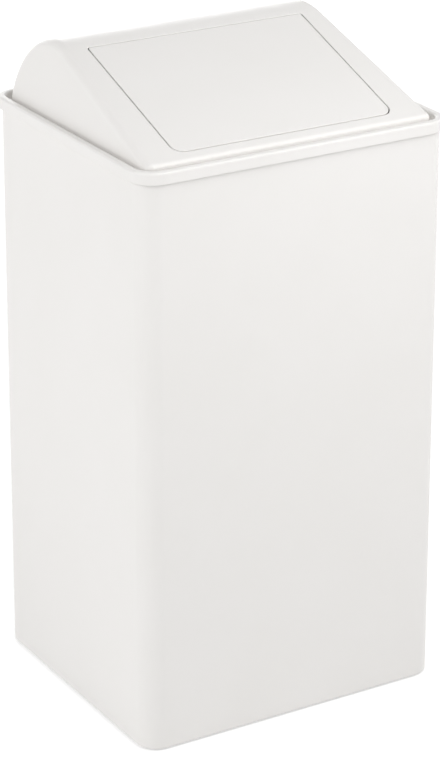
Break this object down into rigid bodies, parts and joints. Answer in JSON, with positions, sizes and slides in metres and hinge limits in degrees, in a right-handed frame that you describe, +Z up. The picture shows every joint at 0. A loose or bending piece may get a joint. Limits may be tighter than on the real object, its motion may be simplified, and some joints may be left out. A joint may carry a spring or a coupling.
{
  "type": "lidded waste bin",
  "caption": "Tall free-standing white sheet-steel waste bin with a lift-off sloping hood and a sprung push flap.",
  "frame": {"origin": "on the floor under the middle of the bin", "axes": "+Z up, the flap's sloping front faces -Y, +X to the right of someone facing the flap"},
  "size_m": [0.3584, 0.3184, 0.6918],
  "materials": {
    "white_enamel": "gloss white epoxy paint on sheet steel",
    "inner_white_paint": "satin white paint on sheet steel",
    "rubber": "matt black rubber",
    "zinc_plated_steel": "zinc-plated steel",
    "spring_steel": "plain spring steel wire",
    "nylon": "natural nylon"
  },
  "bodies": {
    "bin": {"body_shell": "white_enamel", "base_pan": "inner_white_paint", "foot_front_left": "rubber", "foot_back_left": "rubber", "foot_front_right": "rubber", "foot_back_right": "rubber", "foot_screws": "zinc_plated_steel", "foot_washers": "zinc_plated_steel", "foot_nuts": "zinc_plated_steel", "bag_hoop": "zinc_plated_steel", "hoop_bracket_left_front": "inner_white_paint", "hoop_bracket_left_back": "inner_white_paint", "hoop_bracket_right_front": "inner_white_paint", "hoop_bracket_right_back": "inner_white_paint"},
    "lid": {"rim_frame": "white_enamel", "hood_shell": "white_enamel", "hinge_bracket_left": "inner_white_paint", "hinge_bracket_right": "inner_white_paint", "hinge_axle": "zinc_plated_steel", "axle_clips": "zinc_plated_steel", "stop_buffer_left": "rubber", "stop_buffer_right": "rubber", "spring_left": "spring_steel", "spring_right": "spring_steel"},
    "flap": {"flap_panel": "white_enamel", "flap_stiffener": "inner_white_paint", "flap_bush_left": "nylon", "flap_bush_right": "nylon", "stop_tongue_left": "inner_white_paint", "stop_tongue_right": "inner_white_paint"}
  },
  "joints": [
    {"name": "lid_lift", "type": "slide", "parent": "bin", "child": "lid", "axis": [0, 0, 1], "range_m": [0, 0.16]},
    {"name": "flap_swing", "type": "hinge", "parent": "lid", "child": "flap", "pos_m": [0, 0.04775, 0.67609], "axis": [1, 0, 0], "range_deg": [0, 70], "stiffness_Nm_per_rad": 0.35, "springref_deg": -103.13, "deforming": ["spring_left", "spring_right"]}
  ]
}
